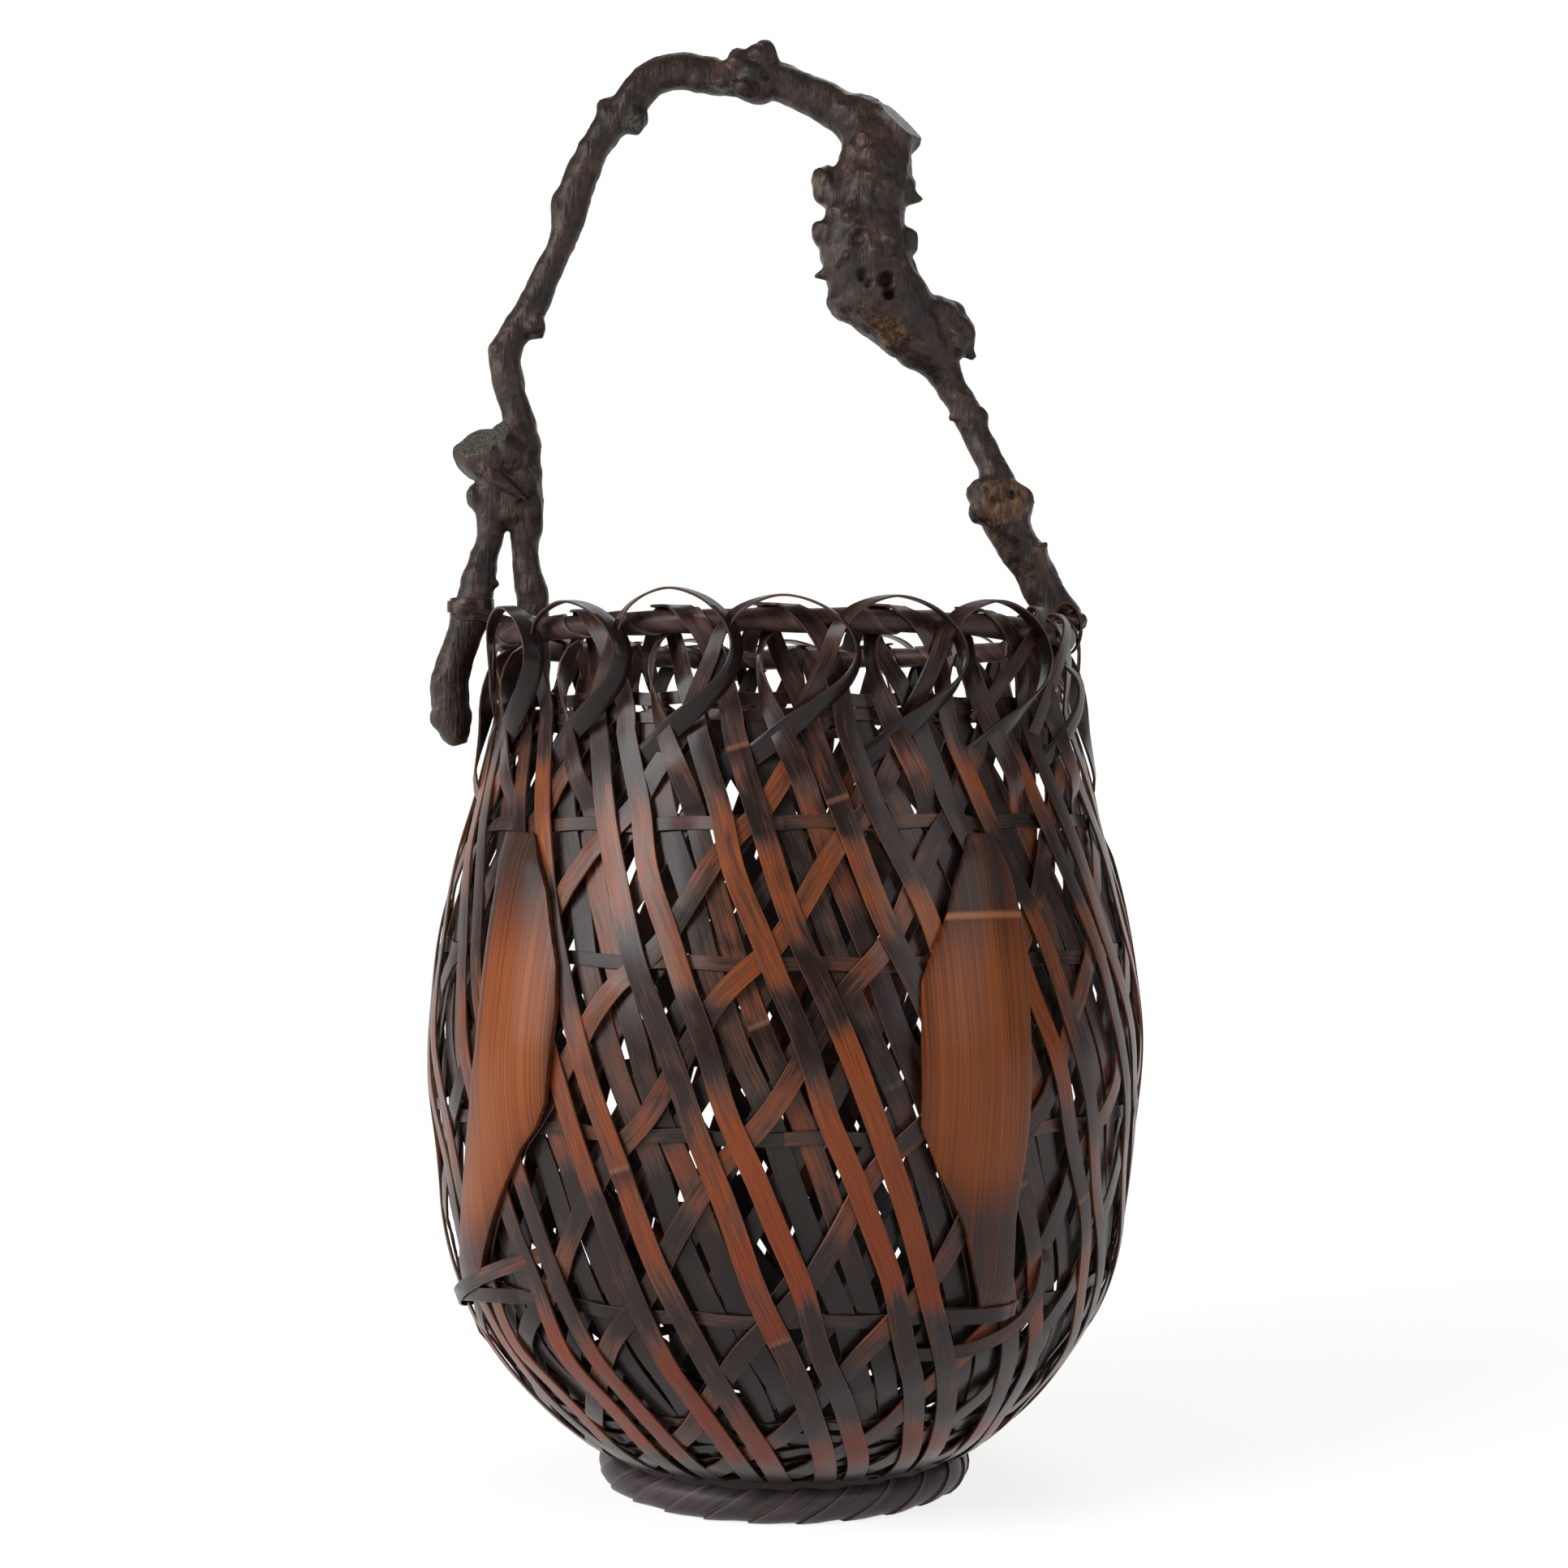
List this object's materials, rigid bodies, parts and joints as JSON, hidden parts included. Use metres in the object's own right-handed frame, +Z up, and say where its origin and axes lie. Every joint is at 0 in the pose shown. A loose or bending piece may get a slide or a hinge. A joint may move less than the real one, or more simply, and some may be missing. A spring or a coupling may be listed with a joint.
{
  "type": "ikebana basket",
  "caption": "Footed ovoid flower basket of smoked bamboo, open diagonal weave with a looped rim, split-culm slats and an arched natural branch handle.",
  "frame": {"origin": "on the basket's upright axis, on the surface that the foot ring stands on", "axes": "+Z up along the basket's axis, +X to the handle's single right foot, -Y towards the front"},
  "size_m": [0.2225, 0.2222, 0.4414],
  "materials": {
    "dark_bamboo": "satin",
    "amber_bamboo": "satin",
    "slat_bamboo": "satin",
    "winding_bamboo": "satin",
    "branch_wood": "satin"
  },
  "bodies": {
    "root": {"foot_ring_core": "dark_bamboo", "foot_ring_winding": "winding_bamboo", "rim_hoop_core": "dark_bamboo", "rim_hoop_winding": "winding_bamboo", "woven_wall": "dark_bamboo", "woven_base": "dark_bamboo", "hoop_1": "dark_bamboo", "hoop_2": "dark_bamboo", "hoop_3": "dark_bamboo", "hoop_4": "dark_bamboo", "hoop_5": "dark_bamboo", "strip_pair_01": "amber_bamboo", "strip_pair_02": "amber_bamboo", "strip_pair_03": "amber_bamboo", "strip_pair_04": "amber_bamboo", "strip_pair_05": "amber_bamboo", "strip_pair_06": "amber_bamboo", "strip_pair_07": "amber_bamboo", "strip_pair_08": "amber_bamboo", "strip_pair_09": "amber_bamboo", "strip_pair_10": "amber_bamboo", "strip_pair_11": "amber_bamboo", "strip_pair_12": "amber_bamboo", "strip_pair_13": "amber_bamboo", "strip_pair_14": "amber_bamboo", "strip_pair_15": "amber_bamboo", "strip_pair_16": "amber_bamboo", "strip_pair_17": "amber_bamboo", "strip_pair_18": "amber_bamboo", "rim_loop_01": "amber_bamboo", "rim_loop_02": "amber_bamboo", "rim_loop_03": "amber_bamboo", "rim_loop_04": "amber_bamboo", "rim_loop_05": "amber_bamboo", "rim_loop_06": "amber_bamboo", "rim_loop_07": "amber_bamboo", "rim_loop_08": "amber_bamboo", "rim_loop_09": "amber_bamboo", "rim_loop_10": "amber_bamboo", "rim_loop_11": "amber_bamboo", "rim_loop_12": "amber_bamboo", "rim_loop_13": "amber_bamboo", "rim_loop_14": "amber_bamboo", "slat_1": "slat_bamboo", "slat_2": "slat_bamboo", "slat_3": "slat_bamboo", "slat_4": "slat_bamboo", "slat_5": "slat_bamboo", "handle_branch": "branch_wood", "lashing_left": "winding_bamboo", "lashing_right_front": "winding_bamboo", "lashing_right_rear": "winding_bamboo"}
  },
  "joints": []
}
